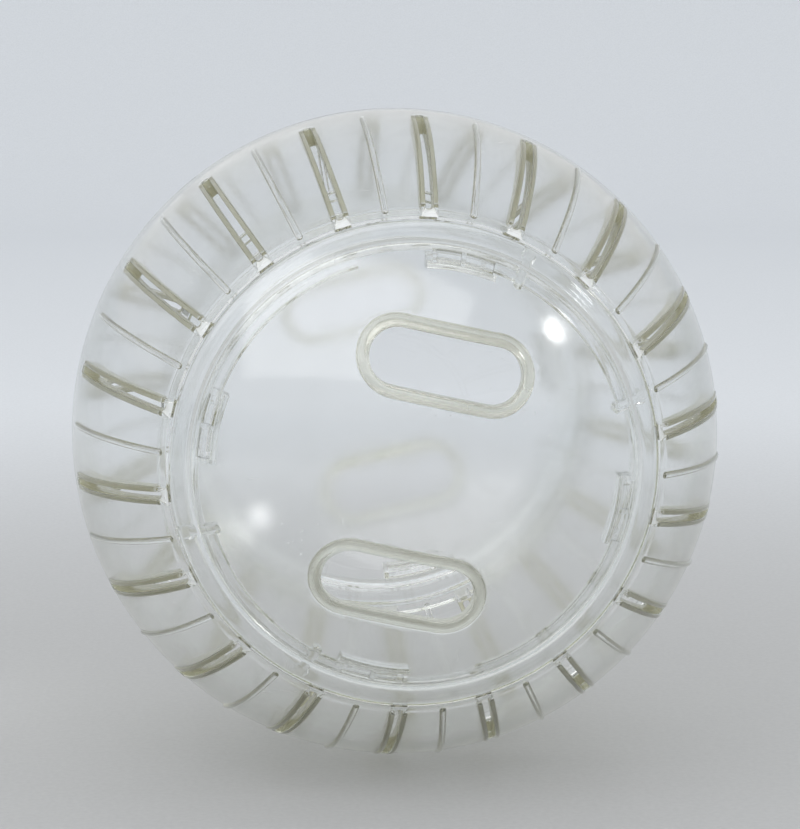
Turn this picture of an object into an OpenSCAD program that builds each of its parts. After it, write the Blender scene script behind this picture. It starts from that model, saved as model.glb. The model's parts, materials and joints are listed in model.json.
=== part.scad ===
/* [Ball] */
// Outer radius of the ball
ball_r = 88.9; // [76:0.1:110]
// Wall thickness of a half
wall = 1.6; // [1.2:0.1:2.2]
// Gap left between the rims of the two halves
seam_gap = 0.2; // [0.1:0.05:0.4]

/* [Air slots] */
// Number of air slots round a half, with one grip bead between each two
slot_count = 18; // [12:1:20]
// Width of an air slot
slot_w = 2; // [1.4:0.1:2.8]
// Thickness of the flange round an air slot
flange_wall = 1.3; // [0.9:0.1:1.8]
// How far a slot flange reaches in past the wall
flange_depth = 3; // [2:0.1:4]
// How far a slot flange stands out of the wall
flange_proud = 0.3; // [0.2:0.05:0.6]
// Length over which the flanges taper to points beside the door
flange_taper = 5; // [3:0.5:8]
// Solid wall between the door seat and the slots
slot_collar = 2.2; // [1.8:0.1:4]
// Height of the plain band between the seam and the slots
seam_band = 16.8; // [12:0.1:24]
// Width of the ramp between a slot and the door, at its upper end
ramp_w = 4.6; // [3:0.1:6]
// How far the ramp's low end lies under the outside, along the axis
ramp_drop = 1.7; // [1.2:0.1:2]
// Turn of the first slot from the half's own x axis, in degrees
slot_turn = 6.6; // [0:0.1:20]

/* [Grip beads] */
// Width of a grip bead
bead_w = 1.8; // [1.2:0.1:2.4]
// Height of a grip bead above the wall
bead_height = 0.7; // [0.4:0.05:0.85]
// Solid wall between the door seat and the beads
bead_collar = 1.2; // [0.9:0.1:3]
// How much narrower than the bead its round ends are
bead_end_step = 0.1; // [0.05:0.05:0.3]

/* [Door seat] */
// Radius of the door
door_r = 62.4; // [56:0.1:66]
// Gap between the door's edge and its seat
edge_gap = 0.4; // [0.2:0.05:0.6]
// Gap between the door and the ledge below it
ledge_gap = 0.3; // [0.2:0.05:0.6]
// Thickness of the ledge that carries the door
ledge_wall = 1.6; // [1.2:0.1:2]
// Thickness of the step between the wall and the ledge
step_wall = 1.5; // [1:0.1:2]
// Width of the ledge between the neck ring and the door's edge
ledge_w = 7.5; // [6:0.1:9]
// Thickness of the neck ring
neck_wall = 2.2; // [1.4:0.1:2.8]
// Depth of the neck ring below the ledge
neck_depth = 4.6; // [4:0.1:7]
// Width of the lip that the door's hooks run under
lip_w = 2.3; // [1.8:0.1:3]
// Gap left on either side of a hook's foot where it comes up through its notch
notch_gap = 0.4; // [0.3:0.05:0.8]

/* [Stops] */
// Width of a stop rib
stop_w = 2.4; // [1.6:0.1:2.6]
// Outer end of a stop rib, measured in from the door's edge
stop_inset = 3.2; // [2:0.1:5]
// Width of the rounded outer end of a stop rib
stop_head_w = 3.6; // [2.6:0.1:4.4]
// Turn of the door from locked until its hooks stand in their notches, in degrees
open_turn = 17; // [16:0.5:22]
// Gap left between a hook and its stop rib at the end of that turn
stop_gap = 0.1; // [0.05:0.05:0.3]
// Angle from a hook back to the second rib, which stands behind it, in degrees
back_rib = 16.5; // [14:0.1:20]

/* [Door] */
// Thickness of the door
door_wall = 1.8; // [1.4:0.1:2.4]
// Turn of the door and its seat from the half's own x axis, in degrees
door_turn = -12.3; // [-45:0.1:45]
// Length of a finger hole
hole_len = 39; // [30:0.5:44]
// Width of a finger hole
hole_w = 14.4; // [10:0.1:18]
// Distance of a finger hole's middle from the middle of the door
hole_offset = 28.2; // [22:0.1:32]
// Thickness of the collar round a finger hole
collar_wall = 2.4; // [1.6:0.1:3]
// Depth of the collar below the door
collar_depth = 3.4; // [2:0.1:5]
// How far the collar stands out of the door
collar_proud = 0.6; // [0.3:0.1:1.2]

/* [Hooks] */
// Half the angle that a hook's wall covers, in degrees
hook_half = 10; // [9.6:0.1:10.2]
// Thickness of a hook's wall
hook_wall = 1.5; // [1.1:0.1:2]
// Gap between a hook's wall and the lip
hook_gap = 0.4; // [0.25:0.05:0.6]
// Gap between the top of a hook's foot and the underside of the lip
foot_gap = 0.7; // [0.6:0.05:1]
// Thickness of a hook's foot
foot_wall = 1.9; // [1.4:0.1:2.4]
// Gap between the outer end of a hook's foot and the neck ring
foot_end_gap = 0.5; // [0.3:0.05:0.8]
// How far a hook's wall reaches below its foot
hook_sole = 0.5; // [0.3:0.1:1]
// Width of the end wall and of the bridge across a hook's window
web_w = 1.2; // [0.8:0.1:1.6]
// Radial width of the window in the door above a hook
window_w = 2.9; // [2.3:0.1:3.6]
// Radius of the small round bump on a hook's foot
bump_r = 1; // [0.8:0.1:1.2]
// Height of that bump above the foot
bump_height = 0.3; // [0.2:0.05:0.4]

/* [Seam tongues] */
// Number of tongues on the lapped side of a half
tongue_count = 6; // [3:1:7]
// Angle that the tongues cover, in degrees
tongue_span = 152; // [120:2:160]
// Gap between two tongues
tongue_pitch_gap = 6; // [3:0.5:10]
// Thickness of a tongue
tongue_wall = 1.4; // [1:0.1:1.8]
// How far a tongue reaches past the seam
tongue_reach = 4; // [3:0.1:6]
// How far a tongue is rooted on its own half
tongue_root = 3.4; // [2.5:0.1:5]
// Gap between a tongue and the other half's wall
tongue_gap = 0.3; // [0.2:0.05:0.5]

/* [Hidden] */
$fn = 128;

// One overrun serves every cut, and a quarter turn parts the four hooks
overrun = 1;
tall = ball_r + collar_proud + bead_height + overrun;
hook_count = 4;
hook_pitch = 360 / hook_count;
slot_pitch = 360 / slot_count;

// Radii of the round surfaces under the outer skin, from outside in
wall_in_r = ball_r - wall;
door_in_r = ball_r - door_wall;
ledge_top_r = door_in_r - ledge_gap;
ledge_low_r = ledge_top_r - ledge_wall;
ledge_mid_r = ledge_top_r - ledge_wall / 2;
foot_top_r = ledge_low_r - foot_gap;
foot_low_r = foot_top_r - foot_wall;
flange_in_r = wall_in_r - flange_depth;

// Distances from the ball's own axis
neck_r = door_r - ledge_w;
seat_r = door_r + edge_gap;
step_r = seat_r + step_wall;
lip_r = neck_r - lip_w;
neck_out_r = neck_r + neck_wall;
slot_r = seat_r + slot_collar;
bead_r = seat_r + bead_collar;
hook_out_r = lip_r - hook_gap;
hook_in_r = hook_out_r - hook_wall;
foot_out_r = neck_r - foot_end_gap;
window_in_r = hook_out_r + edge_gap;
stop_out_r = door_r - stop_inset;

// Heights along the ball's own axis
ledge_low_z = sqrt(ledge_low_r * ledge_low_r - neck_r * neck_r);
neck_low_z = ledge_low_z - neck_depth;

// Angles that small widths cover where they are used
web_angle = asin(web_w / foot_out_r);
foot_half = hook_half - web_angle / 4;
bump_angle = 0.6 * hook_half;
open_stop = hook_half + open_turn + asin((stop_w / 2 + stop_gap) / lip_r);
notch_from = open_turn - foot_half - asin(notch_gap / lip_r);
notch_to = open_stop;

// What is left of the children between two balls
module between_balls(inner, outer) {
  difference() {
    intersection() {
      children();
      sphere(r = outer);
    }
    sphere(r = inner);
  }
}

// A slice of the space round the axis, from one angle to another
module slice(from, to) {
  reach = 2 * tall;
  rotate([0, 0, from])
    linear_extrude(height = tall)
      polygon([[0, 0], [reach, 0], [reach * cos(to - from), reach * sin(to - from)]]);
}

// A tube round the axis, open above and below
module tube(inner, outer) {
  difference() {
    cylinder(h = tall, r = outer);
    translate([0, 0, -overrun]) cylinder(h = tall + 2 * overrun, r = inner);
  }
}

// A piece of such a tube, from one angle to another
module tube_piece(inner, outer, from, to) {
  intersection() {
    tube(inner, outer);
    slice(from, to);
  }
}

// One copy of the children at each hook
module at_hooks() {
  for (i = [0 : hook_count - 1]) {
    rotate([0, 0, i * hook_pitch]) children();
  }
}

// The wall of one half, still closed over the pole
module dome() {
  difference() {
    sphere(r = ball_r);
    sphere(r = wall_in_r);
    translate([-tall, -tall, seam_gap / 2 - 2 * tall]) cube([2 * tall, 2 * tall, 2 * tall]);
  }
}

// The step and the ledge that carry the door, and the neck ring below
module seat_ring() {
  between_balls(ledge_low_r, ball_r - wall / 2) tube(lip_r - overrun, step_r);
  intersection() {
    tube(neck_r, neck_out_r);
    sphere(r = ledge_mid_r);
    translate([-tall, -tall, neck_low_z]) cube([2 * tall, 2 * tall, tall]);
  }
}

// The room for the door, its way in, and the four notches that pass its hooks
module seat_cuts() {
  difference() {
    cylinder(h = tall, r = seat_r);
    sphere(r = ledge_top_r);
  }
  cylinder(h = tall, r = lip_r);
  rotate([0, 0, door_turn]) at_hooks() tube_piece(0, neck_r, notch_from, notch_to);
}

// A rib that a hook runs against, across the neck ring
module stop_rib(angle) {
  rotate([0, 0, angle]) between_balls(foot_low_r, ledge_mid_r) {
    translate([lip_r, -stop_w / 2, 0]) cube([stop_out_r - lip_r, stop_w, tall]);
    translate([lip_r, 0, 0]) cylinder(h = tall, d = stop_w);
    translate([stop_out_r, 0, 0]) cylinder(h = tall, d = stop_head_w);
  }
}

// The outline of one slot flange, seen along the axis
module flange_plan(half) {
  start = slot_r - flange_wall;
  polygon([[start, -slot_w / 2], [start + flange_taper, -half], [tall, -half],
    [tall, half], [start + flange_taper, half], [start, slot_w / 2]]);
}

// The flange round one slot
module slot_flange() {
  low = seam_band - flange_wall;
  between_balls(flange_in_r, ball_r + flange_proud)
    translate([0, 0, low]) linear_extrude(height = tall - low)
      flange_plan(slot_w / 2 + flange_wall);
}

// The slot itself, with a ramp that leads into its end from beside the door
module slot_cut() {
  high = [slot_r - slot_collar + edge_gap, ramp_w / 2];
  low = [slot_r + overrun, slot_w / 2];
  high_z = sqrt(ball_r * ball_r - high.x * high.x);
  slope = (high_z - sqrt(ball_r * ball_r - slot_r * slot_r) + ramp_drop) / (slot_r - high.x);
  low_z = high_z - slope * (low.x - high.x);
  translate([slot_r, -slot_w / 2, seam_band]) cube([tall, slot_w, tall]);
  intersection() {
    linear_extrude(height = tall)
      polygon([[high.x, -high.y], [low.x, -low.y], low, high]);
    translate([0, ramp_w / 2, 0]) rotate([90, 0, 0]) linear_extrude(height = ramp_w)
      polygon([[high.x, high_z], [low.x, low_z], [low.x, tall], [high.x, tall]]);
  }
}

// A round bead that runs down the wall, with a ball at each end
module grip_bead() {
  mid_r = ball_r + bead_height - bead_w / 2;
  top = asin((bead_r + bead_w / 2) / mid_r);
  low = acos((seam_band + bead_w / 2) / mid_r);
  rotate([90, -(90 - low), 0]) rotate_extrude(angle = low - top)
    translate([mid_r, 0]) circle(d = bead_w, $fn = 32);
  for (angle = [top, low]) {
    translate([mid_r * sin(angle), 0, mid_r * cos(angle)])
      sphere(d = bead_w - bead_end_step, $fn = 32);
  }
}

// The tongues inside the rim, on the side where the other half has none
module tongues() {
  outer = wall_in_r - tongue_gap;
  pitch = tongue_span / tongue_count;
  half = pitch / 2 - asin(tongue_pitch_gap / 2 / outer);
  for (i = [0 : tongue_count - 1]) {
    middle = (i - (tongue_count - 1) / 2) * pitch;
    translate([0, 0, -tongue_reach]) intersection() {
      difference() {
        cylinder(h = tongue_reach + tongue_root, r = outer);
        translate([0, 0, -overrun])
          cylinder(h = tongue_reach + tongue_root + 2 * overrun, r = outer - tongue_wall);
      }
      slice(middle - half, middle + half);
    }
    intersection() {
      translate([0, 0, seam_gap]) tube(outer - tongue_wall, wall_in_r + wall / 2);
      slice(middle - half, middle + half);
      cylinder(h = tongue_root, r = tall);
    }
  }
}

// One half of the ball, with its pole up
module half_ball() {
  difference() {
    union() {
      dome();
      seat_ring();
      for (i = [0 : slot_count - 1]) {
        rotate([0, 0, slot_turn + i * slot_pitch]) slot_flange();
        rotate([0, 0, slot_turn + (i + 0.5) * slot_pitch]) grip_bead();
      }
    }
    seat_cuts();
    for (i = [0 : slot_count - 1]) {
      rotate([0, 0, slot_turn + i * slot_pitch]) slot_cut();
    }
  }
  for (side = [0, 2]) {
    stop_rib(door_turn + side * hook_pitch + open_stop);
    stop_rib(door_turn + (side + 1) * hook_pitch - back_rib);
  }
  tongues();
}

// A long hole with round ends, lying along x
module long_hole(length, width) {
  translate([-(length - width) / 2, -width / 2, 0]) cube([length - width, width, tall]);
  for (side = [-1, 1]) {
    translate([side * (length - width) / 2, 0, 0]) cylinder(h = tall, d = width);
  }
}

// The children at both finger holes
module at_finger_holes() {
  for (side = [-1, 1]) {
    translate([0, side * hole_offset, 0]) children();
  }
}

// One hook: a wall, a foot that runs under the lip, an end wall and a round bump
module hook() {
  between_balls(foot_low_r - hook_sole, ball_r - door_wall / 2)
    tube_piece(hook_in_r, hook_out_r, -hook_half, hook_half);
  between_balls(foot_low_r, foot_top_r)
    tube_piece(hook_out_r - hook_wall / 2, foot_out_r, -foot_half, foot_half);
  between_balls(foot_low_r + foot_wall / 2, ball_r - door_wall / 2)
    tube_piece(hook_out_r - hook_wall / 2, foot_out_r, foot_half - web_angle, foot_half);
  bump_place_r = (lip_r + foot_out_r) / 2;
  bump_mid_r = foot_top_r + bump_height - bump_r;
  rotate([0, 0, -bump_angle])
    translate([bump_place_r, 0, sqrt(bump_mid_r * bump_mid_r - bump_place_r * bump_place_r)])
      sphere(r = bump_r, $fn = 32);
}

// The two openings above one hook, with a bridge between them
module hook_window() {
  end = foot_half - web_angle;
  for (span = [[-end, -web_angle / 2], [web_angle / 2, end]]) {
    tube_piece(window_in_r, window_in_r + window_w, span[0], span[1]);
  }
}

// The door with its pole up
module door() {
  rotate([0, 0, door_turn]) difference() {
    union() {
      between_balls(door_in_r, ball_r) cylinder(h = tall, r = door_r);
      between_balls(door_in_r - collar_depth, ball_r + collar_proud)
        at_finger_holes() long_hole(hole_len + 2 * collar_wall, hole_w + 2 * collar_wall);
      at_hooks() hook();
    }
    at_finger_holes() long_hole(hole_len, hole_w);
    difference() {
      at_hooks() hook_window();
      sphere(r = door_in_r - ledge_gap / 2);
    }
  }
}

// The front pole faces -y, and the rear half is the same half turned about z
module face_front() {
  rotate([90, 0, 0]) children();
}

module face_rear() {
  rotate([0, 0, 180]) face_front() children();
}

module front_half_shell() {
  color([0.86, 0.89, 0.88, 0.45]) face_front() half_ball();
}

module rear_half_shell() {
  color([0.8, 0.84, 0.82, 0.45]) face_rear() half_ball();
}

module front_door() {
  color([0.88, 0.92, 0.94, 0.45]) face_front() door();
}

module rear_door() {
  color([0.88, 0.92, 0.94, 0.45]) face_rear() door();
}

front_half_shell();
rear_half_shell();
front_door();
rear_door();
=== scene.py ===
import bpy
import json
import math
import time
from mathutils import Matrix, Vector

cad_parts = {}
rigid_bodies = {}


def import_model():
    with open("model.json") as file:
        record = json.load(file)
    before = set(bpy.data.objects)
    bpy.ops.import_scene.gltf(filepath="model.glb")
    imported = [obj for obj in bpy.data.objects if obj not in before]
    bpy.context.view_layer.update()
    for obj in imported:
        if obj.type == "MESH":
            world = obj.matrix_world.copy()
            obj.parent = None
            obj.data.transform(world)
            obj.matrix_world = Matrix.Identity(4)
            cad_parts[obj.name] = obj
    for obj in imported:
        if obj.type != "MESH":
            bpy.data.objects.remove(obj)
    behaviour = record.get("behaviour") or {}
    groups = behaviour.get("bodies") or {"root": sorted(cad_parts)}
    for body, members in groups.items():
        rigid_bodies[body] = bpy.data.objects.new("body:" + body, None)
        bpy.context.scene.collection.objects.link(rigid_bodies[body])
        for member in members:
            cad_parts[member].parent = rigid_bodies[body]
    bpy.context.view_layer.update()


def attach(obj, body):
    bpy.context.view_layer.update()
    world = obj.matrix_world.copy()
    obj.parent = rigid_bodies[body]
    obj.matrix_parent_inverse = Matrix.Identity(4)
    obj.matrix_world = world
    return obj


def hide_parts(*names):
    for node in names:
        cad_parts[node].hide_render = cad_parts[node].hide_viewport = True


for ob in list(bpy.data.objects):  # the start-up scene's own cube, lamp and camera
    if ob.name in ("Cube", "Light", "Camera"):
        bpy.data.objects.remove(ob)

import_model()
began = time.time()


def report(text):
    print("%5.1f s  %s" % (time.time() - began, text))


# Camera: the photograph's place, in millimetres on axes fixed to the front door
camera = {"tiltUp": 7.83, "turnLeft": 4.90, "shiftRight": 1.5, "shiftUp": 4.4, "away": 776.4,
          "metre": 0.001, "focalPixels": 2800, "longSidePixels": 829, "sensor": 36, "near": 0.02, "far": 30}


def placeCamera():
    up, left = math.radians(camera["tiltUp"]), math.radians(camera["turnLeft"])
    turned = Matrix.Rotation(up, 3, "X") @ Matrix.Rotation(left, 3, "Y")
    toRow = Matrix(((1, 0, 0), (0, 0, -1), (0, 1, 0)))  # door's axes to the part's: its front faces -Y
    axes = toRow @ turned.transposed()
    eye = axes @ Vector((camera["shiftRight"], camera["shiftUp"], camera["away"])) * camera["metre"]
    bpy.ops.object.camera_add()
    cam = bpy.context.object
    cam.name = "photoCamera"
    cam.matrix_world = Matrix.Translation(eye) @ axes.to_4x4()
    cam.data.sensor_width = camera["sensor"]
    cam.data.lens = camera["focalPixels"] * camera["sensor"] / camera["longSidePixels"]
    cam.data.clip_start, cam.data.clip_end = camera["near"], camera["far"]
    bpy.context.scene.camera = cam
    report("camera at %s" % [round(v, 4) for v in eye])


placeCamera()


# Modelling helpers: each piece is drawn in millimetres with its pole up, and set in place at the end
tolerance = {"weld": 0.002, "side": 0.01}  # mm: how close points are welded, or count as one place


def deselectAll():
    if bpy.context.object and bpy.context.object.mode != "OBJECT":
        bpy.ops.object.mode_set(mode="OBJECT")
    bpy.ops.object.select_all(action="DESELECT")


def only(ob):
    deselectAll()
    ob.select_set(True)
    bpy.context.view_layer.objects.active = ob


def edit(ob, action="DESELECT", kind="VERT"):
    only(ob)
    bpy.ops.object.mode_set(mode="EDIT")
    bpy.ops.mesh.select_mode(type=kind)
    bpy.ops.mesh.select_all(action=action)


def done():
    bpy.ops.object.mode_set(mode="OBJECT")


def pickPoints(ob, test):  # leaves edit mode on, with the vertices that pass the test selected
    edit(ob)
    done()
    for v in ob.data.vertices:
        v.select = bool(test(v.co))
    bpy.ops.object.mode_set(mode="EDIT")


def drawOutline(name, points):  # one vertex, extruded from point to point and closed
    deselectAll()
    bpy.ops.mesh.primitive_plane_add(size=1)
    ob = bpy.context.object
    ob.name = ob.data.name = name
    edit(ob, "SELECT")
    bpy.ops.mesh.merge(type="CENTER")
    bpy.ops.transform.translate(value=points[0])
    for a, b in zip(points, points[1:]):
        step = [q - p for p, q in zip(a, b)]
        bpy.ops.mesh.extrude_region_move(TRANSFORM_OT_translate={"value": step})
    done()  # the last point is still selected, and an edge to the first closes the outline
    min(ob.data.vertices, key=lambda v: (v.co - Vector(points[0])).length).select = True
    bpy.ops.object.mode_set(mode="EDIT")
    bpy.ops.mesh.edge_face_add()
    done()
    return ob


def roundCorner(ob, place, size, segments=4):  # bevels the outline's corner nearest to a place
    corner = Vector(place)
    nearest = min(ob.data.vertices, key=lambda v: (v.co - corner).length).index
    edit(ob)
    done()
    ob.data.vertices[nearest].select = True
    bpy.ops.object.mode_set(mode="EDIT")
    bpy.ops.mesh.bevel(offset=size, segments=segments, affect="VERTICES", clamp_overlap=True)
    done()


def roundCorners(ob, places, sizes, segments=4):  # the sizes are by the place's number or name
    for name, size in sizes.items():
        roundCorner(ob, places[name], size, segments)


def volume(ob):  # signed, so it's negative where the faces point inwards
    ob.update_from_editmode()
    total = 0
    for face in ob.data.polygons:
        corners = [ob.data.vertices[i].co for i in face.vertices]
        total += sum(corners[0].dot(b.cross(c)) for b, c in zip(corners[1:], corners[2:]))
    return total / 6


def close(ob):  # welds, closes any open end and turns the faces outwards
    edit(ob, "SELECT")
    bpy.ops.mesh.remove_doubles(threshold=tolerance["weld"])
    bpy.ops.mesh.select_all(action="SELECT")
    bpy.ops.mesh.fill_holes(sides=0)
    bpy.ops.mesh.select_all(action="SELECT")
    bpy.ops.mesh.normals_make_consistent(inside=False)
    if volume(ob) < 0:
        bpy.ops.mesh.flip_normals()
    done()


def spinOutline(ob, steps, turn=360):
    edit(ob, "SELECT")
    bpy.ops.mesh.spin(steps=steps, angle=math.radians(turn), center=(0, 0, 0), axis=(0, 0, 1))
    close(ob)


def combine(ob, other, how):
    only(ob)
    bpy.ops.object.modifier_add(type="BOOLEAN")
    cut = ob.modifiers[-1]
    cut.operation, cut.solver, cut.object = how, "MANIFOLD", other
    bpy.ops.object.modifier_apply(modifier=cut.name)
    bpy.data.objects.remove(other)


def join(name, obs):
    deselectAll()
    for ob in obs:
        ob.select_set(True)
    bpy.context.view_layer.objects.active = obs[0]
    bpy.ops.object.join()
    obs[0].name = obs[0].data.name = name
    return obs[0]


def turnedCopies(ob, angles):  # copies of a piece round the pole, joined, with the first one used up
    copies = []
    for angle in angles:
        copy = ob.copy()
        copy.data = ob.data.copy()
        bpy.context.collection.objects.link(copy)
        copy.data.transform(Matrix.Rotation(math.radians(angle), 4, "Z"))
        copies.append(copy)
    name = ob.name
    bpy.data.objects.remove(ob)
    return join(name, copies)


def reshape(ob, place):  # moves every vertex to where the function puts it
    for v in ob.data.vertices:
        v.co = place(v.co)


def onBall(radius, r):  # how high a ball of that radius is, at r from the pole's axis
    return math.sqrt(radius * radius - r * r)


def spot(radius, r):  # the same as a point (r, z) of a section
    return (r, onBall(radius, r))


def atAngle(r, angle, z):
    a = math.radians(angle)
    return (r * math.cos(a), r * math.sin(a), z)


def alongX(points):  # a section's points (r, z), stood up in the plane of x and z
    return [(r, 0, z) for r, z in points]


def turnMiddleTo(ob, angle):  # a part turn may be spun either way round, so its middle is measured
    middle = sum((v.co for v in ob.data.vertices), Vector()) / len(ob.data.vertices)
    went = math.degrees(math.atan2(middle.y, middle.x))
    ob.data.transform(Matrix.Rotation(math.radians(angle - went), 4, "Z"))


def bevelSharp(ob, size, segments, angle=50):
    edit(ob, "DESELECT", "EDGE")
    bpy.ops.mesh.edges_select_sharp(sharpness=math.radians(angle))
    bpy.ops.mesh.bevel(offset=size, segments=segments, affect="EDGES", clamp_overlap=True)
    done()


def crossCuts(ob, along, places):  # cuts a mesh across at each place, so that it can bend there
    edit(ob, "SELECT")
    for place in places:
        bpy.ops.mesh.select_all(action="SELECT")
        bpy.ops.mesh.bisect(plane_co=Vector(along) * place, plane_no=along)
    done()


# The half shell's sizes; the ball is 0.03 mm under the solid's 88.9, whose facets cut into its own box
shell = {"ball": 88.87, "inside": 87.3, "rim": 0.1, "seat": 62.8, "step": 64.3, "ledgeTop": 86.8,
         "ledgeLow": 85.2, "neckOut": 57.1, "neckIn": 54.9, "neckDeep": 4.6, "lip": 52.6,
         "steps": 300, "arcSteps": 44, "ledgeSteps": 5, "lipSteps": 1, "seatSteps": 7,
         "rounds": {"seatEdge": 0.45, "rimOut": 0.3, "rimIn": 0.2, "stepTop": 0.4, "stepLow": 0.5,
                    "neckOutTop": 0.4, "neckOutLow": 0.8, "neckInLow": 0.8, "neckInTop": 0.3,
                    "lipLow": 0.35, "lipTop": 0.35, "seatFoot": 0.3}}


def arc(radius, fromR, toR, count):  # points of a circle round the centre, without its two ends
    a, b = math.asin(fromR / radius), math.asin(toR / radius)
    angles = [a + (b - a) * (i + 1) / (count + 1) for i in range(count)]
    return [(radius * math.sin(t), 0, radius * math.cos(t)) for t in angles]


def makeShellBody():
    s = shell
    rimOut, rimIn = onBall(s["ball"], s["rim"]), onBall(s["inside"], s["rim"])
    neckTop = onBall(s["ledgeLow"], s["neckIn"])
    corners = {
        "seatEdge": (s["seat"], 0, onBall(s["ball"], s["seat"])),
        "rimOut": (rimOut, 0, s["rim"]), "rimIn": (rimIn, 0, s["rim"]),
        "stepTop": (s["step"], 0, onBall(s["inside"], s["step"])),
        "stepLow": (s["step"], 0, onBall(s["ledgeLow"], s["step"])),
        "neckOutTop": (s["neckOut"], 0, onBall(s["ledgeLow"], s["neckOut"])),
        "neckOutLow": (s["neckOut"], 0, neckTop - s["neckDeep"]),
        "neckInLow": (s["neckIn"], 0, neckTop - s["neckDeep"]),
        "neckInTop": (s["neckIn"], 0, neckTop),
        "lipLow": (s["lip"], 0, onBall(s["ledgeLow"], s["lip"])),
        "lipTop": (s["lip"], 0, onBall(s["ledgeTop"], s["lip"])),
        "seatFoot": (s["seat"], 0, onBall(s["ledgeTop"], s["seat"]))}
    c, n = corners, s["arcSteps"]
    points = ([c["seatEdge"]] + arc(s["ball"], s["seat"], rimOut, n) + [c["rimOut"], c["rimIn"]]
              + arc(s["inside"], rimIn, s["step"], n) + [c["stepTop"], c["stepLow"]]
              + arc(s["ledgeLow"], s["step"], s["neckOut"], s["ledgeSteps"])
              + [c["neckOutTop"], c["neckOutLow"], c["neckInLow"], c["neckInTop"]]
              + arc(s["ledgeLow"], s["neckIn"], s["lip"], s["lipSteps"]) + [c["lipLow"], c["lipTop"]]
              + arc(s["ledgeTop"], s["lip"], s["seat"], s["seatSteps"]) + [c["seatFoot"]])
    body = drawOutline("shellBody", points)
    roundCorners(body, corners, s["rounds"], segments=3)
    spinOutline(body, s["steps"])
    return body


# The air slots: a raised frame round each, bent over the ball, and a ramp beside the door
slots = {"count": 18, "turn": 6.6, "half": 1.0, "frameHalf": 2.3, "wall": 1.3, "start": 65.0,
         "band": 16.8, "out": 0.3, "in": -4.6, "lipRound": 0.32, "endRound": 0.85, "cuts": 24,
         "frameRounds": {1: 1.5, 2: 1.5, 0: 0.5, 3: 0.5}, "plugSide": 0.12, "plugEnd": 0.6, "plugFar": 120,
         "rampWide": 4.6, "rampFrom": 63.2, "rampDrop": 1.7, "rampPast": 1.0, "rampHigh": 12}
slotPitch = 360 / slots["count"]
slotAngles = [slots["turn"] + i * slotPitch for i in range(slots["count"])]


def slotLength():
    ball = shell["ball"]
    return ball * (math.acos(slots["band"] / ball) - math.asin(slots["start"] / ball))


def overSlot(co):  # bends flat work over the ball: x runs down the slot, y across it, z is the height
    radius = math.sqrt((shell["ball"] + co.z) ** 2 - co.y ** 2)
    near, far = math.asin(slots["start"] / radius), math.acos(slots["band"] / radius)
    t = near + (far - near) * co.x / slotLength()
    return (radius * math.sin(t), co.y, radius * math.cos(t))


def makeSlotFrame():
    s, length = slots, slotLength()
    start, h, w = -s["wall"], s["half"], s["frameHalf"]
    outer = [(start, -w, 0), (length + s["wall"], -w, 0), (length + s["wall"], w, 0), (start, w, 0)]
    ring = drawOutline("slotFrame", outer)
    roundCorners(ring, outer, s["frameRounds"])
    inner = [(0, -h, 0), (length, -h, 0), (length, h, 0), (0, h, 0)]
    hole = drawOutline("slotHole", inner)
    for place in inner:
        roundCorner(hole, place, s["endRound"])
    ring = join("slotFrame", [ring, hole])
    edit(ring, "SELECT", "EDGE")
    bpy.ops.mesh.bridge_edge_loops()
    bpy.ops.mesh.select_all(action="SELECT")
    bpy.ops.transform.translate(value=(0, 0, s["in"]))
    bpy.ops.mesh.extrude_region_move(TRANSFORM_OT_translate={"value": (0, 0, s["out"] - s["in"])})
    done()
    close(ring)
    bevelSharp(ring, s["lipRound"], segments=3)
    crossCuts(ring, (1, 0, 0), [length * (i + 0.5) / s["cuts"] for i in range(s["cuts"])])
    reshape(ring, overSlot)
    return turnedCopies(ring, slotAngles)


def makeSlotPlug():  # opens the wall inside each frame's own wall
    s = slots
    side, far = s["half"] + s["plugSide"], s["plugFar"]
    x, z = s["start"] - s["plugEnd"], s["band"] - s["plugEnd"]
    plug = drawOutline("slotPlug", [(x, -side, z), (far, -side, z), (far, side, z), (x, side, z)])
    edit(plug, "SELECT")
    bpy.ops.mesh.edge_face_add()
    bpy.ops.mesh.extrude_region_move(TRANSFORM_OT_translate={"value": (0, 0, far)})
    close(plug)
    return turnedCopies(plug, slotAngles)


def makeRampCutter():
    s = slots
    x0, x1 = s["rampFrom"], s["start"] + s["rampPast"]
    top = onBall(shell["ball"], x0)
    slope = (top - onBall(shell["ball"], s["start"]) + s["rampDrop"]) / (s["start"] - x0)
    low = top - slope * (x1 - x0)
    wide, narrow = s["rampWide"] / 2, s["half"]
    floor = [(x0, -wide, top), (x1, -narrow, low), (x1, narrow, low), (x0, wide, top)]
    wedge = drawOutline("rampCutter", floor)
    edit(wedge, "SELECT")
    bpy.ops.mesh.edge_face_add()
    bpy.ops.mesh.extrude_region_move(TRANSFORM_OT_translate={"value": (0, 0, s["rampHigh"])})
    close(wedge)
    return turnedCopies(wedge, slotAngles)


# The grip beads: round bars with round ends, bent over the ball between the slots
beads = {"radius": 0.9, "above": 0.7, "start": 64.0, "band": 16.8, "around": 28, "rings": 12, "cuts": 22}


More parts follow.
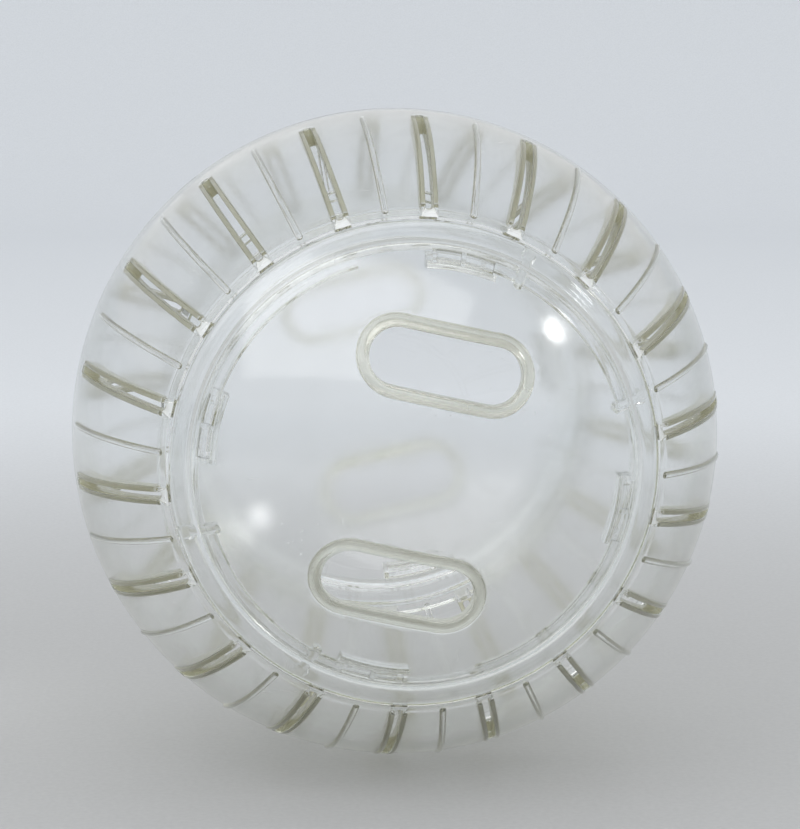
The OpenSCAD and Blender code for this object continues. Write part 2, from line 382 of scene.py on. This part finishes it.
def makeBeads():
    b = beads
    mid = shell["ball"] + b["above"] - b["radius"]
    near = math.asin((b["start"] + b["radius"]) / mid)
    far = math.acos((b["band"] + b["radius"]) / mid)
    length = mid * (far - near)
    deselectAll()
    bpy.ops.mesh.primitive_uv_sphere_add(segments=b["around"], ring_count=b["rings"], radius=b["radius"],
                                         rotation=(0, math.pi / 2, 0))
    bpy.ops.object.transform_apply(location=False, rotation=True, scale=False)
    bead = bpy.context.object
    bead.name = bead.data.name = "gripBead"
    pickPoints(bead, lambda co: co.x > tolerance["side"])
    bpy.ops.transform.translate(value=(length, 0, 0))
    done()
    crossCuts(bead, (1, 0, 0), [length * (i + 0.5) / b["cuts"] for i in range(b["cuts"])])

    def bent(co):
        t = near + co.x / mid
        radius = mid + co.z
        return (radius * math.sin(t), co.y, radius * math.cos(t))

    reshape(bead, bent)
    return turnedCopies(bead, [angle + slotPitch / 2 for angle in slotAngles])


# The lip's notches for the door's hooks, and the ribs that stop them
seat = {"doorTurn": -12.3, "hooks": 4, "hookPitch": 90, "notchFrom": 6.88, "notchTo": 28.42, "notchIn": 49,
        "notchOut": 54.9, "notchLow": 50, "notchHigh": 80, "notchSteps": 22, "ribFrom": 52.6, "ribTo": 59.2,
        "ribHalf": 1.2, "ribHead": 1.8, "headAround": 40, "ribTop": 86.0, "ribLow": 82.6, "ribRound": 0.45,
        "ribCut": 0.8, "ribCuts": 7, "openRib": 28.42, "backRib": -16.5}
quarters = [i * seat["hookPitch"] for i in range(seat["hooks"])]
hookAngles = [seat["doorTurn"] + angle for angle in quarters]


def sectorPiece(name, section, start, end, steps):  # a closed (r, z) outline spun over part of a turn
    piece = drawOutline(name, alongX(section))
    spinOutline(piece, steps, end - start)
    turnMiddleTo(piece, (start + end) / 2)
    return piece


def makeNotches():
    s = seat
    low, high = s["notchLow"], s["notchHigh"]
    section = [(s["notchIn"], low), (s["notchOut"], low), (s["notchOut"], high), (s["notchIn"], high)]
    notch = sectorPiece("lipNotch", section, s["notchFrom"], s["notchTo"], s["notchSteps"])
    return turnedCopies(notch, hookAngles)


def prismAlong(name, length, radius, low, high, around=32):  # a round-ended bar along x, standing up in z
    deselectAll()
    bpy.ops.mesh.primitive_cylinder_add(vertices=around, radius=radius, depth=high - low,
                                        location=(0, 0, (high + low) / 2))
    bpy.ops.object.transform_apply(location=True, rotation=False, scale=False)
    bar = bpy.context.object
    bar.name = bar.data.name = name
    if length:
        pickPoints(bar, lambda co: co.x > tolerance["side"])
        bpy.ops.transform.translate(value=(length, 0, 0))
        done()
    return bar


def drape():  # flat work laid on the ball along the pole's direction: z is the height
    def place(co):
        return (co.x, co.y, math.sqrt((shell["ball"] + co.z) ** 2 - co.x ** 2 - co.y ** 2))
    return place


def makeStopRibs():
    s = seat
    low, high = s["ribLow"] - shell["ball"], s["ribTop"] - shell["ball"]
    length = s["ribTo"] - s["ribFrom"]
    bar = prismAlong("stopRib", length, s["ribHalf"], low, high)
    head = prismAlong("stopRibHead", 0, s["ribHead"], low, high, s["headAround"])
    head.data.transform(Matrix.Translation((length, 0, 0)))
    combine(bar, head, "UNION")
    pickPoints(bar, lambda co: co.z < low + tolerance["side"])
    bpy.ops.mesh.select_mode(type="EDGE")
    bpy.ops.mesh.bevel(offset=s["ribRound"], segments=3, affect="EDGES", clamp_overlap=True)
    done()
    bar.data.transform(Matrix.Translation((s["ribFrom"], 0, 0)))
    crossCuts(bar, (1, 0, 0), [s["ribFrom"] + s["ribCut"] * (i + 1) for i in range(s["ribCuts"])])
    reshape(bar, drape())
    angles = []
    for side in (0, 2):
        angles += [hookAngles[side] + s["openRib"], hookAngles[side + 1] + s["backRib"]]
    return turnedCopies(bar, angles)


# The tongues on half of the rim, which lap inside the other half
tongues = {"count": 6, "span": 152, "gap": 6, "out": 87.0, "in": 85.6, "reach": -4.0, "root": 3.4,
           "foot": 0.2, "buried": 88.1, "outRound": 0.6, "inRound": 0.3, "rootRound": 0.9, "steps": 20}


def makeTongues():
    t = tongues
    pitch = t["span"] / t["count"]
    half = pitch / 2 - math.degrees(math.asin(t["gap"] / 2 / t["out"]))
    section = [(t["in"], t["reach"]), (t["out"], t["reach"]), (t["out"], t["foot"]), (t["buried"], t["foot"]),
               (t["buried"], t["root"]), (t["in"], t["root"])]
    piece = drawOutline("tongue", alongX(section))
    roundCorner(piece, (t["out"], 0, t["reach"]), t["outRound"], segments=3)
    roundCorner(piece, (t["in"], 0, t["reach"]), t["inRound"], segments=3)
    roundCorner(piece, (t["in"], 0, t["root"]), t["rootRound"])
    spinOutline(piece, t["steps"], 2 * half)
    turnMiddleTo(piece, 0)
    return turnedCopies(piece, [(i - (t["count"] - 1) / 2) * pitch for i in range(t["count"])])


def makeShell():
    body = makeShellBody()
    report("shell body: %d faces" % len(body.data.polygons))
    for maker, how in ((makeNotches, "DIFFERENCE"), (makeSlotPlug, "DIFFERENCE"), (makeSlotFrame, "UNION"),
                       (makeRampCutter, "DIFFERENCE"), (makeBeads, "UNION"), (makeStopRibs, "UNION"),
                       (makeTongues, "UNION")):
        tool = maker()
        combine(body, tool, how)
        report("%s: %d faces" % (maker.__name__, len(body.data.polygons)))
    return body


# The door's round cap
door = {"edge": 62.4, "inside": 87.1, "steps": 300, "arcSteps": 34, "edgeRound": 0.5}


def makeDoorCap():
    d, ball, n = door, shell["ball"], door["arcSteps"]
    top, low = (d["edge"], 0, onBall(ball, d["edge"])), (d["edge"], 0, onBall(d["inside"], d["edge"]))
    points = ([(0, 0, ball)] + arc(ball, 0, d["edge"], n) + [top, low]
              + arc(d["inside"], d["edge"], 0, n) + [(0, 0, d["inside"])])
    cap = drawOutline("doorCap", points)
    # the axis side stays open, or the spin would fold it into the pole
    pickPoints(cap, lambda co: co.x < tolerance["side"])
    bpy.ops.mesh.delete(type="EDGE_FACE")
    done()
    roundCorner(cap, top, d["edgeRound"], segments=3)
    roundCorner(cap, low, d["edgeRound"], segments=3)
    spinOutline(cap, d["steps"])
    return cap


# The finger holes, each with a collar: a lip over the cap, a skirt buried in it and a flange inwards
fingerHole = {"length": 39, "wide": 14.4, "offset": 28.2, "lip": 0.6, "lipWide": 1.7, "shoulder": 2.8,
              "shoulderAt": -0.03, "skirt": 3.8, "skirtTop": -0.06, "skirtLow": -1.74, "wall": 2.4,
              "wallTop": -1.82, "deep": -5.2, "rounds": {0: 0.8, 1: 0.85, 2: 0.75, 3: 0.5, 6: 0.7, 7: 0.9},
              "straightSteps": 14, "endSteps": 20, "plugPast": 1.2, "plugLow": 60, "plugHigh": 100,
              "plugAround": 64}


def makeCollar():  # the section is drawn beside the hole and swept round it: two straight runs and two ends
    f = fingerHole
    end, radius = (f["length"] - f["wide"]) / 2, f["wide"] / 2
    section = [(0, f["deep"]), (0, f["lip"]), (f["lipWide"], f["lip"]), (f["shoulder"], f["shoulderAt"]),
               (f["skirt"], f["skirtTop"]), (f["skirt"], f["skirtLow"]), (f["wall"], f["wallTop"]),
               (f["wall"], f["deep"])]
    points = [(-end, -(radius + off), high) for off, high in section]
    ring = drawOutline("collar", points)
    roundCorners(ring, points, f["rounds"])
    edit(ring, "SELECT", "EDGE")
    step = 2 * end / f["straightSteps"]
    for side in (1, -1):
        for i in range(f["straightSteps"]):
            bpy.ops.mesh.extrude_region_move(TRANSFORM_OT_translate={"value": (side * step, 0, 0)})
        bpy.ops.mesh.spin(steps=f["endSteps"], angle=-math.pi, center=(side * end, 0, 0), axis=(0, 0, 1))
    done()
    close(ring)
    return ring


# The hooks, each with a wall down from the cap, a foot outwards under the lip, an end wall and a round
# click bump, and a pair of windows in the cap over it
hooks = {"wallIn": 50.7, "wallOut": 52.2, "foot": 54.4, "half": 9.85, "sole": 82.1, "footFrom": 52.7,
         "footLow": 82.6, "footTop": 84.5, "buried": 88.0, "steps": 24,
         "rounds": {1: 0.4, 2: 0.3, 4: 0.4, 5: 0.35, 6: 0.3},
         "webIn": 51.7, "webOut": 54.38, "webLow": 83.9, "webFrom": 8.42, "webTo": 9.66, "webSteps": 3,
         "bumpAt": -6, "bumpR": 53.5, "bump": 1.0, "bumpTop": 84.8, "bumpAround": 24, "bumpRings": 14,
         "bridge": 0.63, "windowIn": 52.6, "windowOut": 55.5, "windowLow": 86.95, "windowHigh": 90,
         "windowSteps": 10}


def makeHook():
    h = hooks
    section = [spot(h["buried"], h["wallIn"]), spot(h["sole"], h["wallIn"]),
               spot(h["sole"], h["wallOut"]), spot(h["footLow"], h["footFrom"]),
               spot(h["footLow"], h["foot"]), spot(h["footTop"], h["foot"]),
               spot(h["footTop"], h["wallOut"]), spot(h["buried"], h["wallOut"])]
    piece = drawOutline("hook", alongX(section))
    roundCorners(piece, alongX(section), h["rounds"], segments=3)
    spinOutline(piece, h["steps"], 2 * h["half"])
    turnMiddleTo(piece, 0)
    webSection = [spot(h["webLow"], h["webIn"]), spot(h["webLow"], h["webOut"]),
                  spot(h["buried"], h["webOut"]), spot(h["buried"], h["webIn"])]
    combine(piece, sectorPiece("hookEnd", webSection, h["webFrom"], h["webTo"], h["webSteps"]), "UNION")
    deselectAll()
    bpy.ops.mesh.primitive_uv_sphere_add(segments=h["bumpAround"], ring_count=h["bumpRings"],
                                         radius=h["bump"])
    bump = bpy.context.object
    place = atAngle(h["bumpR"], h["bumpAt"], onBall(h["bumpTop"] - h["bump"], h["bumpR"]))
    bump.data.transform(Matrix.Translation(place))
    combine(piece, bump, "UNION")
    return turnedCopies(piece, quarters)


def makeWindows():
    h = hooks
    section = [spot(h["windowLow"], h["windowIn"]), spot(h["windowLow"], h["windowOut"]),
               (h["windowOut"], h["windowHigh"]), (h["windowIn"], h["windowHigh"])]
    pair = []
    for start, end in ((-h["webFrom"], -h["bridge"]), (h["bridge"], h["webFrom"])):
        pair.append(sectorPiece("window", section, start, end, h["windowSteps"]))
    return turnedCopies(join("window", pair), quarters)


def makeDoor():
    f = fingerHole
    cap = makeDoorCap()
    report("door cap: %d faces" % len(cap.data.polygons))
    end = (f["length"] - f["wide"]) / 2
    for side in (1, -1):
        plug = prismAlong("holePlug", 0, f["wide"] / 2 + f["plugPast"], f["plugLow"], f["plugHigh"],
                          f["plugAround"])
        pickPoints(plug, lambda co: co.x > tolerance["side"])
        bpy.ops.transform.translate(value=(end, 0, 0))
        pickPoints(plug, lambda co: co.x < -tolerance["side"])
        bpy.ops.transform.translate(value=(-end, 0, 0))
        done()
        plug.data.transform(Matrix.Translation((0, side * f["offset"], 0)))
        combine(cap, plug, "DIFFERENCE")
        collar = makeCollar()
        collar.data.transform(Matrix.Translation((0, side * f["offset"], 0)))
        reshape(collar, drape())
        combine(cap, collar, "UNION")
    report("finger holes: %d faces" % len(cap.data.polygons))
    combine(cap, makeHook(), "UNION")
    combine(cap, makeWindows(), "DIFFERENCE")
    report("hooks and windows: %d faces" % len(cap.data.polygons))
    cap.data.transform(Matrix.Rotation(math.radians(seat["doorTurn"]), 4, "Z"))
    return cap


# Setting in place: millimetres with the pole up become metres with the pole to the front or the rear
setting = {"metre": 0.001, "smoothUnder": 32}


def finishPiece(piece, name):
    piece.name = piece.data.name = name
    only(piece)
    bpy.ops.object.shade_smooth_by_angle(angle=math.radians(setting["smoothUnder"]))
    piece.data.transform(Matrix.Scale(setting["metre"], 4) @ Matrix.Rotation(math.pi / 2, 4, "X"))


def rearCopy(piece, name):
    copy = piece.copy()
    copy.data = piece.data.copy()
    copy.name = copy.data.name = name
    bpy.context.collection.objects.link(copy)
    copy.data.transform(Matrix.Rotation(math.pi, 4, "Z"))
    return copy


frontShell = makeShell()
finishPiece(frontShell, "frontHalf")
rearShell = rearCopy(frontShell, "rearHalf")
frontDoor = makeDoor()
finishPiece(frontDoor, "frontDoor")
rearDoor = rearCopy(frontDoor, "rearDoor")
report("pieces set in place")


# Materials: clear moulded plastic, with its moulding ripple, fine scratches and dust
class NodeSheet:
    def __init__(self, name):
        self.material = bpy.data.materials.new(name)
        self.material.use_nodes = True
        self.nodes = self.material.node_tree.nodes
        self.links = self.material.node_tree.links
        self.nodes.clear()

    def add(self, kind, **settings):
        node = self.nodes.new(kind)
        for name, value in settings.items():
            setattr(node, name, value)
        return node

    def put(self, value, socket):  # a node's output is linked, and anything else is set
        if hasattr(value, "is_linked"):
            self.links.new(value, socket)
        else:
            socket.default_value = value

    def maths(self, how, a, b=0.0):
        node = self.add("ShaderNodeMath", operation=how)
        self.put(a, node.inputs[0])
        self.put(b, node.inputs[1])
        return node.outputs["Value"]

    def allOf(self, *values):
        result = values[0]
        for value in values[1:]:
            result = self.maths("MULTIPLY", result, value)
        return result

    def span(self, value, fromLow, fromHigh, toLow=0.0, toHigh=1.0):
        node = self.add("ShaderNodeMapRange")
        self.put(value, node.inputs["Value"])
        for name, number in (("From Min", fromLow), ("From Max", fromHigh),
                             ("To Min", toLow), ("To Max", toHigh)):
            node.inputs[name].default_value = number
        return node.outputs["Result"]

    def spread(self, noise, low=0.0, high=1.0, middle=(0.3, 0.7)):  # draws a noise out from low to high
        return self.span(noise, *middle, low, high)

    def within(self, value, low, high, soft=0.1):
        return self.allOf(self.span(value, low, low + soft), self.span(value, high, high - soft))

    def apart(self, a, b):
        return self.maths("ABSOLUTE", self.maths("SUBTRACT", a, b))

    def length(self, vector, keep=(1, 1, 1)):
        scaled = self.add("ShaderNodeVectorMath", operation="MULTIPLY")
        self.put(vector, scaled.inputs[0])
        scaled.inputs[1].default_value = keep
        node = self.add("ShaderNodeVectorMath", operation="LENGTH")
        self.put(scaled.outputs["Vector"], node.inputs[0])
        return node.outputs["Value"]

    def noise(self, where, scale, detail=3, stretch=(1, 1, 1), turn=(0, 0, 0)):
        mapping = self.add("ShaderNodeMapping")
        self.put(where, mapping.inputs["Vector"])
        mapping.inputs["Scale"].default_value = stretch
        mapping.inputs["Rotation"].default_value = turn
        node = self.add("ShaderNodeTexNoise")
        self.put(mapping.outputs["Vector"], node.inputs["Vector"])
        node.inputs["Scale"].default_value = scale
        node.inputs["Detail"].default_value = detail
        return node.outputs["Fac"]

    def blend(self, factor, a, b):
        node = self.add("ShaderNodeMix", data_type="RGBA")
        self.put(factor, node.inputs["Factor"])
        for value, socket in ((a, node.inputs["A"]), (b, node.inputs["B"])):
            self.put(value if hasattr(value, "is_linked") else tuple(value) + (1,), socket)
        return node.outputs["Result"]


# The outer face has a slight haze, the deep thin walls round the openings look a little milky, and the ramps
# at the slots' ends are painted near-white and less clear: a painted highlight where their slopes catch the
# light
plastic = {"clear": ((0.984, 0.989, 0.992), (0.973, 0.980, 0.984)), "polish": (0.01, 0.03),
           # the ramps' painted highlight: its near-white colour, how much of the clear look it takes away,
           # and its roughness
           "haze": (0.10, 0.14), "rampPaintedHighlight": (0.90, 0.91, 0.90), "rampHighlightShare": 0.78, "rampHighlightRough": 0.25,
           "milkRough": 0.2, "milkVaries": 0.06, "ior": 1.57, "absorbs": (0.61, 0.63, 0.14),
           "castTint": (0.94, 0.942, 0.935)}
# Where each of them is, in mm: the soft edge of a mask, or the low and high side of a place
places = {"offInner": (0.05, 0.15), "underOuter": (shell["ball"] - 0.05, shell["ball"] - 0.2),
          "offSeam": (12, 13), "nearOuter": (0.16, 0.06),
          "rampAside": (63.1, 65.8), "rampRadius": (87.4, 88.8)}
# The wear: noises by scale and detail, and two sets of scratches by their stretch and the noise they begin at
wear = {"ripple": (16, 1), "fine": (160, 3), "cloud": (34, 4), "scratch": (90, 5),
        "stretchA": (1, 1, 30), "fromA": (0.70, 0.76), "stretchB": (28, 1, 1), "fromB": (0.71, 0.77),
        "scratchRough": 0.16, "scratchDeep": 0.03, "specks": 420, "speckSize": 0.14, "dusty": (0.5, 0.75),
        "dustShare": 0.6, "dustRough": 0.4, "bump": 0.00004}


def clearPlastic(name, inner, across, milkTones, milkShare, dense, seed):
    p, w, inMm = plastic, wear, 1 / setting["metre"]
    sheet = NodeSheet(name)
    place = sheet.add("ShaderNodeTexCoord").outputs["Object"]
    radius = sheet.maths("MULTIPLY", sheet.length(place), inMm)  # from the ball's centre
    aside = sheet.maths("MULTIPLY", sheet.length(place, (1, 0, 1)), inMm)  # from its axis
    upFromSeam = sheet.maths("MULTIPLY", sheet.length(place, (0, 1, 0)), inMm)
    ripple = sheet.noise(place, w["ripple"][0] + seed, w["ripple"][1])
    fine = sheet.noise(place, *w["fine"])
    cloud = sheet.noise(place, *w["cloud"])
    milky = sheet.allOf(sheet.span(sheet.apart(radius, inner), *places["offInner"]),
                        sheet.span(radius, *places["underOuter"]),
                        sheet.span(aside, *across), sheet.span(upFromSeam, *places["offSeam"]))
    # painted highlight: the slot ramps are painted near-white and less clear, standing in for their slopes
    # catching the light
    rampPaintedHighlight = sheet.allOf(sheet.within(aside, *places["rampAside"]),
                        sheet.within(radius, *places["rampRadius"]))
    outside = sheet.span(sheet.apart(radius, shell["ball"]), *places["nearOuter"])
    turnA, turnB = (0.5 + seed, 0.3, 0), (0.2, seed, 0.9)
    scratchA = sheet.noise(place, *w["scratch"], w["stretchA"], turnA)
    scratchB = sheet.noise(place, *w["scratch"], w["stretchB"], turnB)
    either = sheet.maths("MAXIMUM", sheet.span(scratchA, *w["fromA"]), sheet.span(scratchB, *w["fromB"]))
    scratches = sheet.allOf(either, outside)
    specks = sheet.add("ShaderNodeTexVoronoi")
    sheet.put(place, specks.inputs["Vector"])
    specks.inputs["Scale"].default_value = w["specks"]
    dust = sheet.allOf(sheet.span(specks.outputs["Distance"], w["speckSize"], 0.0),
                       sheet.span(cloud, *w["dusty"]))

    skin = sheet.add("ShaderNodeBsdfPrincipled")
    patch = sheet.spread(cloud)
    tone = sheet.blend(milky, sheet.blend(patch, *p["clear"]), sheet.blend(patch, *milkTones))
    # the ramps' painted highlight lays its near-white colour over the clear tone
    sheet.put(sheet.blend(rampPaintedHighlight, tone, p["rampPaintedHighlight"]), skin.inputs["Base Color"])
    milk = sheet.allOf(milky, sheet.spread(fine, milkShare - p["milkVaries"], milkShare + p["milkVaries"]))
    milk = sheet.maths("MAXIMUM", milk, sheet.maths("MULTIPLY", dust, w["dustShare"]))
    milk = sheet.maths("MAXIMUM", milk, sheet.maths("MULTIPLY", rampPaintedHighlight, p["rampHighlightShare"]))
    sheet.put(sheet.maths("SUBTRACT", 1.0, milk), skin.inputs["Transmission Weight"])
    rough = sheet.spread(fine, *p["polish"])
    for mask, amount in ((outside, sheet.spread(fine, *p["haze"])), (scratches, w["scratchRough"]),
                         (dust, w["dustRough"]), (milky, p["milkRough"]), (rampPaintedHighlight, p["rampHighlightRough"])):
        rough = sheet.maths("ADD", rough, sheet.maths("MULTIPLY", mask, amount))
    sheet.put(rough, skin.inputs["Roughness"])
    skin.inputs["IOR"].default_value = p["ior"]
    height = sheet.maths("SUBTRACT", ripple, sheet.maths("MULTIPLY", scratches, w["scratchDeep"]))
    bump = sheet.add("ShaderNodeBump")
    bump.inputs["Strength"].default_value = 1
    bump.inputs["Distance"].default_value = w["bump"]
    sheet.put(height, bump.inputs["Height"])
    sheet.put(bump.outputs["Normal"], skin.inputs["Normal"])

    through = sheet.add("ShaderNodeBsdfTransparent")
    through.inputs["Color"].default_value = p["castTint"] + (1,)
    mix = sheet.add("ShaderNodeMixShader")
    sheet.put(sheet.add("ShaderNodeLightPath").outputs["Is Shadow Ray"], mix.inputs["Fac"])
    sheet.links.new(skin.outputs["BSDF"], mix.inputs[1])
    sheet.links.new(through.outputs["BSDF"], mix.inputs[2])
    inside = sheet.add("ShaderNodeVolumeAbsorption")
    inside.inputs["Color"].default_value = p["absorbs"] + (1,)
    inside.inputs["Density"].default_value = dense
    out = sheet.add("ShaderNodeOutputMaterial")
    sheet.links.new(mix.outputs["Shader"], out.inputs["Surface"])
    sheet.links.new(inside.outputs["Volume"], out.inputs["Volume"])
    return sheet.material


shellPlastic = clearPlastic("clearShellPlastic", inner=shell["inside"], across=(64.4, 64.9),
                            milkTones=((0.54, 0.53, 0.41), (0.47, 0.46, 0.34)), milkShare=0.64,
                            dense=6, seed=0)
doorPlastic = clearPlastic("clearDoorPlastic", inner=door["inside"], across=(46.0, 45.0),
                           milkTones=((0.80, 0.80, 0.72), (0.72, 0.72, 0.63)), milkShare=0.22,
                           dense=6, seed=3)

for piece, body, node, slot, finish in (
        (frontShell, "front_half", "front_half_shell", "clear_shell", shellPlastic),
        (rearShell, "rear_half", "rear_half_shell", "clear_shell", shellPlastic),
        (frontDoor, "front_door", "front_door", "clear_door", doorPlastic),
        (rearDoor, "rear_door", "rear_door", "clear_door", doorPlastic)):
    piece.data.materials.clear()
    piece.data.materials.append(finish)
    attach(piece, body)
    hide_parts(node)
report("materials and slots")


# Stage: a pale round floor with painted shade round the ball, bending up into a wall all round, soft lamps
# and a pale sky
cove = {"first": 0.5, "floor": 2.0, "bend": 0.45, "high": 0.6, "steps": 96, "bendSteps": 12, "weld": 0.0001,
        # near: painted shade, the darker grey floor round the ball; far: the pale floor and wall further out
        "near": (0.50, 0.50, 0.495), "far": (0.805, 0.825, 0.845), "from": 0.15, "to": 0.8,
        "grain": (700, 2), "grainVaries": (0.97, 1.03), "rough": 0.7}
lamps = {"key": {"place": (-0.42, -0.92, 1.05), "size": (2.1, 1.15), "power": 9.5, "shape": "RECTANGLE"},
         "fill": {"place": (0.97, -0.51, 0.70), "size": (0.16, 0.16), "power": 0.8, "shape": "DISK"}}
sky = {"low": (0.90, 0.91, 0.92), "high": (0.93, 0.96, 1.0), "strength": 0.82}
bounces = {"clear": 32, "glossy": 24}  # light runs far inside the clear walls


def makeCove():
    c = cove
    floorZ = -shell["ball"] * setting["metre"]
    profile = [(0, 0, floorZ), (c["first"], 0, floorZ), (c["floor"], 0, floorZ)]
    for i in range(1, c["bendSteps"] + 1):
        t = math.pi / 2 * i / c["bendSteps"]
        profile.append((c["floor"] + c["bend"] * math.sin(t), 0, floorZ + c["bend"] * (1 - math.cos(t))))
    profile.append((c["floor"] + c["bend"], 0, floorZ + c["high"]))
    deselectAll()
    bpy.ops.mesh.primitive_plane_add(size=1)
    sweep = bpy.context.object
    sweep.name = sweep.data.name = "paleCove"
    edit(sweep, "SELECT")
    bpy.ops.mesh.merge(type="CENTER")
    bpy.ops.transform.translate(value=profile[0])
    for a, b in zip(profile, profile[1:]):
        step = [q - p for p, q in zip(a, b)]
        bpy.ops.mesh.extrude_region_move(TRANSFORM_OT_translate={"value": step})
    bpy.ops.mesh.select_all(action="SELECT")
    bpy.ops.mesh.spin(steps=c["steps"], angle=math.radians(360), center=(0, 0, 0), axis=(0, 0, 1))
    bpy.ops.mesh.select_all(action="SELECT")
    bpy.ops.mesh.remove_doubles(threshold=c["weld"])
    bpy.ops.mesh.select_all(action="SELECT")
    bpy.ops.mesh.normals_make_consistent(inside=True)
    done()
    only(sweep)
    bpy.ops.object.shade_smooth()
    sheet = NodeSheet("paleCove")
    place = sheet.add("ShaderNodeTexCoord").outputs["Object"]
    skin = sheet.add("ShaderNodeBsdfPrincipled")
    # painted shade: the floor darkens towards the ball, from the far tone at 'to' down to the near tone at
    # 'from'
    away = sheet.add("ShaderNodeMapRange", interpolation_type="SMOOTHSTEP")
    sheet.put(sheet.length(place, (1, 1, 0)), away.inputs["Value"])
    away.inputs["From Min"].default_value, away.inputs["From Max"].default_value = c["from"], c["to"]
    tone = sheet.blend(away.outputs["Result"], c["near"], c["far"])
    grain = sheet.spread(sheet.noise(place, *c["grain"]), *c["grainVaries"])
    shade = sheet.add("ShaderNodeVectorMath", operation="SCALE")
    sheet.put(tone, shade.inputs[0])
    sheet.put(grain, shade.inputs["Scale"])
    sheet.put(shade.outputs["Vector"], skin.inputs["Base Color"])
    skin.inputs["Roughness"].default_value = c["rough"]
    out = sheet.add("ShaderNodeOutputMaterial")
    sheet.links.new(skin.outputs["BSDF"], out.inputs["Surface"])
    sweep.data.materials.append(sheet.material)


def softLamp(name):
    lit = lamps[name]
    deselectAll()
    bpy.ops.object.light_add(type="AREA", location=lit["place"])
    lamp = bpy.context.object
    lamp.name = lamp.data.name = name + "Lamp"
    lamp.data.shape, lamp.data.energy = lit["shape"], lit["power"]
    lamp.data.size, lamp.data.size_y = lit["size"]
    lamp.rotation_euler = (-Vector(lit["place"])).to_track_quat("-Z", "Y").to_euler()


def makeSky():
    world = bpy.context.scene.world or bpy.data.worlds.new("paleSky")
    bpy.context.scene.world = world
    world.use_nodes = True
    nodes, links = world.node_tree.nodes, world.node_tree.links
    nodes.clear()
    way, split = nodes.new("ShaderNodeTexCoord"), nodes.new("ShaderNodeSeparateXYZ")
    links.new(way.outputs["Generated"], split.inputs["Vector"])
    tone = nodes.new("ShaderNodeMix")
    tone.data_type = "RGBA"
    links.new(split.outputs["Z"], tone.inputs["Factor"])
    tone.inputs["A"].default_value, tone.inputs["B"].default_value = sky["low"] + (1,), sky["high"] + (1,)
    glow, out = nodes.new("ShaderNodeBackground"), nodes.new("ShaderNodeOutputWorld")
    links.new(tone.outputs["Result"], glow.inputs["Color"])
    glow.inputs["Strength"].default_value = sky["strength"]
    links.new(glow.outputs["Background"], out.inputs["Surface"])


makeCove()
softLamp("key")
softLamp("fill")
makeSky()
scene = bpy.context.scene
scene.view_settings.view_transform = "Standard"
scene.cycles.max_bounces = scene.cycles.transmission_bounces = bounces["clear"]
scene.cycles.glossy_bounces = bounces["glossy"]
report("stage and lamps")
